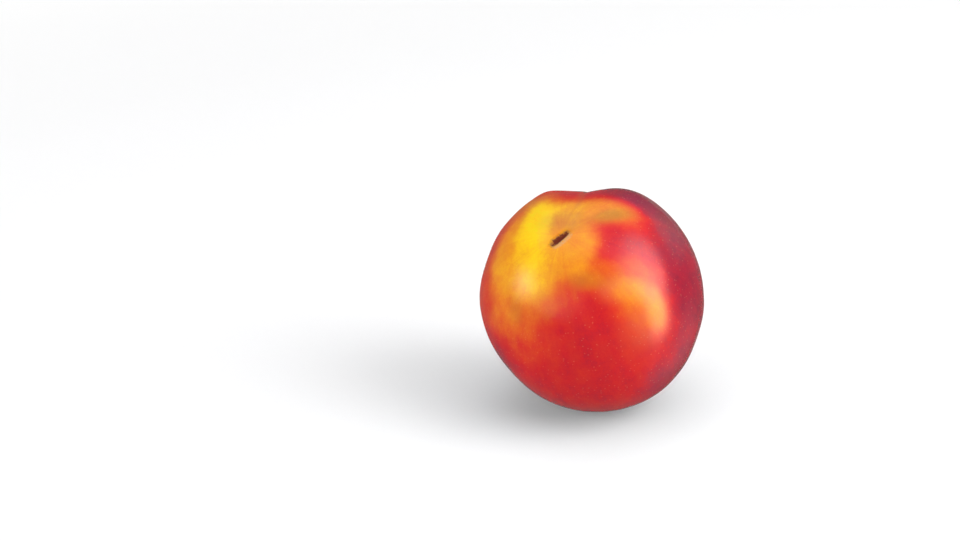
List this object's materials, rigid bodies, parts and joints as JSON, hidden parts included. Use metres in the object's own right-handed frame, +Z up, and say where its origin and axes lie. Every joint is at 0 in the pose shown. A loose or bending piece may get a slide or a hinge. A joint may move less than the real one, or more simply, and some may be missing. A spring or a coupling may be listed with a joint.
{
  "type": "nectarine",
  "caption": "Whole ripe nectarine with smooth yellow and red skin, a shallow seam, a blossom scar and a stem hollow, resting on its shoulder.",
  "frame": {"origin": "middle of the small flat spot that the fruit rests on", "axes": "+Z up; the front faces -Y; the blossom end leans about 37 degrees from upright, to the front and to the left (-X)"},
  "size_m": [0.0676, 0.0685, 0.0681],
  "materials": {
    "skin": "satin"
  },
  "bodies": {
    "root": {"nectarine": "skin"}
  },
  "joints": []
}
